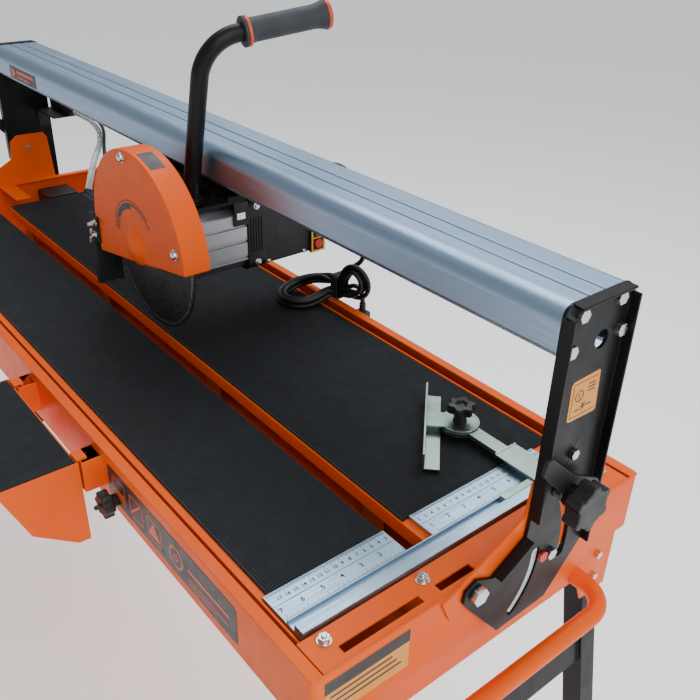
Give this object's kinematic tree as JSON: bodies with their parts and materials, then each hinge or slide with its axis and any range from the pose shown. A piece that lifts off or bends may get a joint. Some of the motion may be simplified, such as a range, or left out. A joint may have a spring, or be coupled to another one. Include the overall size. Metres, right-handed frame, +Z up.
{
  "type": "wet tile saw",
  "caption": "Rail-mounted wet tile saw on folding legs, with a slotted water table, tilting overhead rail, sliding plunge saw head, angle guide and side table.",
  "frame": {"origin": "on the floor under the middle of the water tank", "axes": "+X along the rail towards the ruler end, +Y from the operator's side to the back, +Z up"},
  "size_m": [1.6724, 0.791, 1.2656],
  "materials": {
    "orange_coat": "gloss powder coat",
    "galvanised": "zinc plated, satin",
    "rubber_mat": "ribbed matt rubber",
    "ruler_metal": "satin anodised, printed scales",
    "zinc_bolts": "bright zinc",
    "black_coat": "gloss black powder coat",
    "beam_anodised": "satin anodised",
    "black_plastic": "moulded, slightly rough",
    "cord_rubber": "smooth matt",
    "hose_clear": "clear flexible tube",
    "motor_alloy": "cast and extruded, satin",
    "steel": "machined",
    "blade_steel": "ground steel with sintered rim",
    "button_green": "moulded",
    "button_red": "moulded"
  },
  "bodies": {
    "table": {"tank_pan": "orange_coat", "tank_end_plates": "orange_coat", "table_supports": "galvanised", "table_plate_front": "orange_coat", "table_plate_back": "orange_coat", "table_mat_front": "rubber_mat", "table_mat_back": "rubber_mat", "ruler_plates": "ruler_metal", "fence_rail": "ruler_metal", "end_deck": "orange_coat", "pivot_brackets": "orange_coat", "table_bolts": "zinc_bolts", "carry_handles": "orange_coat", "water_pump": "black_plastic"},
    "drain": {"drain_plug": "black_plastic"},
    "rail": {"rail_beam": "beam_anodised", "upright_right": "black_coat", "upright_left": "black_coat", "upright_bolts": "zinc_bolts", "cable_chain": "black_plastic", "cord_gland": "black_plastic", "power_cord": "cord_rubber", "cord_hank": "cord_rubber", "power_plug": "cord_rubber", "water_hose": "hose_clear", "head_cable": "cord_rubber"},
    "carriage": {"carriage_block": "black_coat"},
    "rollers_left": {"roller_set_left": "black_plastic"},
    "rollers_right": {"roller_set_right": "black_plastic"},
    "head": {"motor_mount": "black_coat", "handle_tube": "black_coat", "handle_grip": "rubber_mat", "motor_housing": "motor_alloy", "motor_stator": "steel", "motor_end_bell": "black_plastic", "switch_box": "black_plastic", "guard_shell": "orange_coat", "head_fittings": "black_plastic"},
    "spindle": {"motor_rotor": "steel", "saw_blade": "blade_steel", "blade_flanges": "steel"},
    "flap": {"splash_flap": "rubber_mat"},
    "on_switch": {"on_button": "button_green"},
    "off_switch": {"off_button": "button_red"},
    "guide": {"guide_slider": "galvanised"},
    "guide_bar": {"guide_fence": "galvanised"},
    "guide_lock": {"guide_knob": "black_plastic"},
    "side_table": {"side_tray": "orange_coat", "side_tray_mat": "rubber_mat"},
    "side_lock": {"side_knob": "black_plastic"},
    "tilt_lock_right": {"tilt_knob_right": "black_plastic"},
    "tilt_lock_left": {"tilt_knob_left": "black_plastic"},
    "legs_right": {"leg_frame_right": "black_coat", "leg_feet_right": "rubber_mat"},
    "legs_left": {"leg_frame_left": "black_coat", "leg_feet_left": "rubber_mat"},
    "leg_lock_back_right": {"leg_knob_back_right": "black_plastic"},
    "leg_lock_front_right": {"leg_knob_front_right": "black_plastic"},
    "leg_lock_back_left": {"leg_knob_back_left": "black_plastic"},
    "leg_lock_front_left": {"leg_knob_front_left": "black_plastic"}
  },
  "joints": [
    {"name": "rail_tilt", "type": "hinge", "parent": "table", "child": "rail", "pos_m": [0, -0.046, 0.782], "axis": [1, 0, 0], "range_deg": [0, 45]},
    {"name": "carriage_slide", "type": "slide", "parent": "rail", "child": "carriage", "axis": [1, 0, 0], "range_m": [-0.641, 0.509], "deforming": ["water_hose", "head_cable"]},
    {"name": "roller_left_turn", "type": "hinge", "parent": "carriage", "child": "rollers_left", "pos_m": [-0.049, 0.078, 1.0423], "axis": [0, 1, 0], "continuous": true},
    {"name": "roller_right_turn", "type": "hinge", "parent": "carriage", "child": "rollers_right", "pos_m": [0.131, 0.078, 1.0423], "axis": [0, 1, 0], "continuous": true},
    {"name": "head_plunge", "type": "hinge", "parent": "carriage", "child": "head", "pos_m": [-0.069, 0.078, 0.994], "axis": [0, 1, 0], "range_deg": [0, 15], "stiffness_Nm_per_rad": 40, "springref_deg": -40.11},
    {"name": "blade_spin", "type": "hinge", "parent": "head", "child": "spindle", "pos_m": [0.081, -0.046, 0.935], "axis": [0, 1, 0], "continuous": true},
    {"name": "flap_height", "type": "slide", "parent": "head", "child": "flap", "axis": [0, 0, 1], "range_m": [-0.012, 0]},
    {"name": "on_press", "type": "slide", "parent": "head", "child": "on_switch", "axis": [-1, 0, 0], "range_m": [0, 0.003], "stiffness_N_per_m": 500, "springref_m": -0.002},
    {"name": "off_press", "type": "slide", "parent": "head", "child": "off_switch", "axis": [-1, 0, 0], "range_m": [0, 0.003], "stiffness_N_per_m": 500, "springref_m": -0.002},
    {"name": "tilt_knob_right_turn", "type": "hinge", "parent": "table", "child": "tilt_lock_right", "pos_m": [0.77, 0.06564, 0.86311], "axis": [1, 0, 0], "continuous": true},
    {"name": "tilt_knob_left_turn", "type": "hinge", "parent": "table", "child": "tilt_lock_left", "pos_m": [-0.77, 0.06564, 0.86311], "axis": [1, 0, 0], "continuous": true},
    {"name": "guide_slide", "type": "slide", "parent": "table", "child": "guide", "axis": [0, 1, 0], "range_m": [-0.14, 0.01]},
    {"name": "guide_turn", "type": "hinge", "parent": "guide", "child": "guide_bar", "pos_m": [0.539, 0.143, 0.796], "axis": [0, 0, 1], "range_deg": [-15, 45]},
    {"name": "guide_knob_turn", "type": "hinge", "parent": "guide", "child": "guide_lock", "pos_m": [0.539, 0.143, 0.805], "axis": [0, 0, 1], "continuous": true},
    {"name": "side_table_lift", "type": "slide", "parent": "table", "child": "side_table", "axis": [0, 0, 1], "range_m": [0, 0.08]},
    {"name": "side_knob_turn", "type": "hinge", "parent": "table", "child": "side_lock", "pos_m": [0.336, -0.256, 0.73], "axis": [0, 1, 0], "continuous": true},
    {"name": "legs_right_fold", "type": "hinge", "parent": "table", "child": "legs_right", "pos_m": [0.698, 0, 0.68], "axis": [0, 1, 0], "range_deg": [0, 100]},
    {"name": "legs_left_fold", "type": "hinge", "parent": "table", "child": "legs_left", "pos_m": [-0.698, 0, 0.68], "axis": [0, -1, 0], "range_deg": [0, 100]},
    {"name": "leg_knob_back_right_turn", "type": "hinge", "parent": "table", "child": "leg_lock_back_right", "pos_m": [0.698, 0.25, 0.68], "axis": [0, 1, 0], "continuous": true},
    {"name": "leg_knob_front_right_turn", "type": "hinge", "parent": "table", "child": "leg_lock_front_right", "pos_m": [0.698, -0.25, 0.68], "axis": [0, 1, 0], "continuous": true},
    {"name": "leg_knob_back_left_turn", "type": "hinge", "parent": "table", "child": "leg_lock_back_left", "pos_m": [-0.698, 0.25, 0.68], "axis": [0, 1, 0], "continuous": true},
    {"name": "leg_knob_front_left_turn", "type": "hinge", "parent": "table", "child": "leg_lock_front_left", "pos_m": [-0.698, -0.25, 0.68], "axis": [0, 1, 0], "continuous": true},
    {"name": "drain_pull", "type": "slide", "parent": "table", "child": "drain", "axis": [0, 0, -1], "range_m": [0, 0.03]}
  ],
  "couplings": [
    {"joint": "roller_left_turn", "follows": "carriage_slide", "rad_per_m": 71.429},
    {"joint": "roller_right_turn", "follows": "carriage_slide", "rad_per_m": 71.429}
  ]
}
